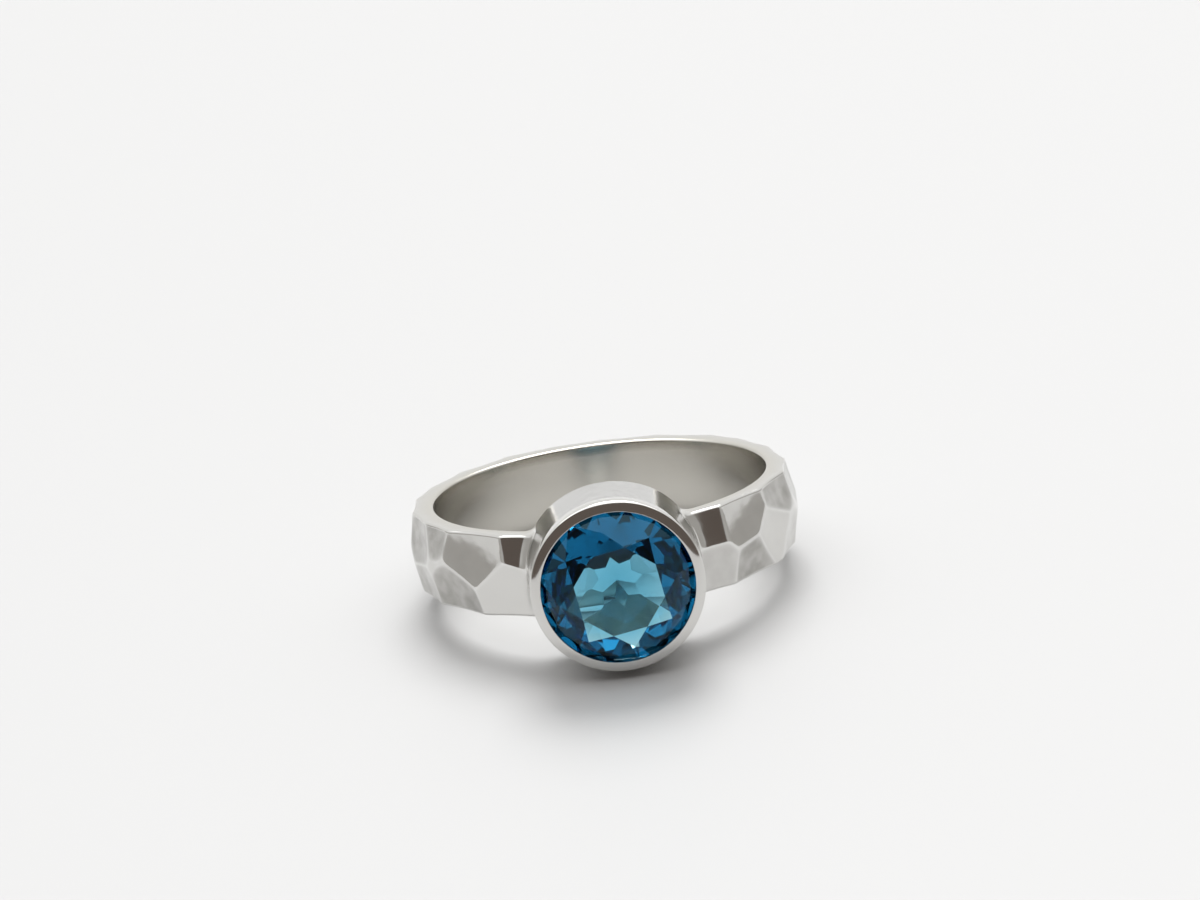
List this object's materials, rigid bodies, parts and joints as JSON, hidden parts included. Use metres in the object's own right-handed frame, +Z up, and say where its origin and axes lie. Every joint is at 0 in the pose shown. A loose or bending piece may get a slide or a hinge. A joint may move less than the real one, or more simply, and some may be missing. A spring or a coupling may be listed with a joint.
{
  "type": "stackable ring",
  "caption": "Silver stacking ring with a flat hammered band and a round blue faceted stone in a tall straight bezel.",
  "frame": {"origin": "on the table, under the middle of the ring as it lies on its side", "axes": "+Z up from the table, -Y towards the side that the stone faces, X across the band; the finger goes through along Z, leaning 6.9 degrees, because the bezel is wider than the band and holds the front up"},
  "size_m": [0.0206, 0.0242, 0.0092],
  "materials": {
    "silver": "polished silver, hammered outside",
    "blue_stone": "polished facets, clear blue"
  },
  "bodies": {
    "root": {"band_and_bezel": "silver", "stone": "blue_stone"}
  },
  "joints": []
}
